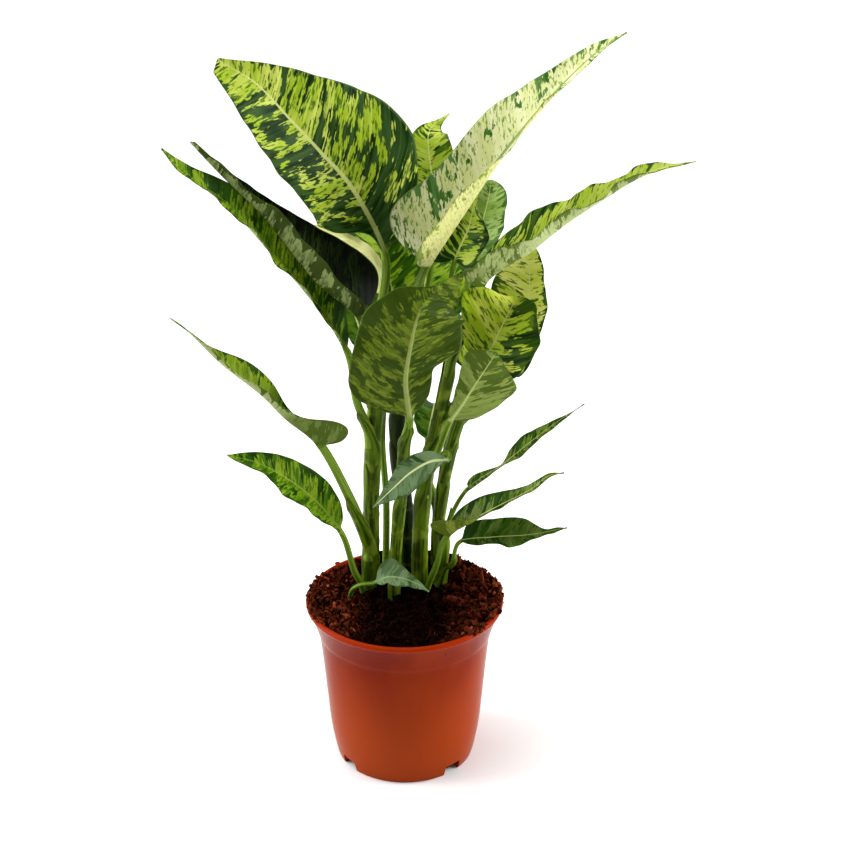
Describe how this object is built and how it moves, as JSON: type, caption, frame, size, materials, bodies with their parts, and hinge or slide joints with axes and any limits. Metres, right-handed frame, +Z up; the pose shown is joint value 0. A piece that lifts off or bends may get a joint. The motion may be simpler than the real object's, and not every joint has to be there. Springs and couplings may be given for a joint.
{
  "type": "potted dieffenbachia",
  "caption": "Potted house plant with upright canes and broad variegated leaves on long stalks, in a round flared nursery pot filled with soil.",
  "frame": {"origin": "centre of the pot's underside, on the surface that the pot stands on", "axes": "+Z up along the pot's axis, +Y towards the back, -Y towards the viewer of the picture, +X to the viewer's right"},
  "size_m": [0.407, 0.36, 0.651],
  "materials": {
    "pot_plastic": "satin terracotta-coloured plastic",
    "soil": null,
    "cane": null,
    "leaf": null
  },
  "bodies": {
    "root": {"pot": "pot_plastic", "soil": "soil", "cane_left": "cane", "cane_front": "cane", "cane_right": "cane", "cane_back_right": "cane", "cane_back": "cane", "cane_small": "cane", "leaf_top_left_broad": "leaf", "leaf_left_long_lower": "leaf", "leaf_left_long_upper": "leaf", "leaf_left_inner": "leaf", "leaf_top_right_long": "leaf", "leaf_top_back": "leaf", "leaf_right_long": "leaf", "leaf_right_back_small": "leaf", "leaf_right_inner": "leaf", "leaf_right_back": "leaf", "leaf_front_broad": "leaf", "leaf_front_right": "leaf", "leaf_front_right_small": "leaf", "leaf_low_left_long": "leaf", "leaf_low_left": "leaf", "leaf_low_front": "leaf", "leaf_at_soil_front": "leaf", "leaf_low_right_upper": "leaf", "leaf_low_right_middle": "leaf", "leaf_low_right_lower": "leaf", "leaf_back_left": "leaf", "leaf_back_middle": "leaf", "leaf_back_right": "leaf", "leaf_back_low_left": "leaf", "leaf_back_low_right": "leaf", "leaf_back_side": "leaf"}
  },
  "joints": []
}
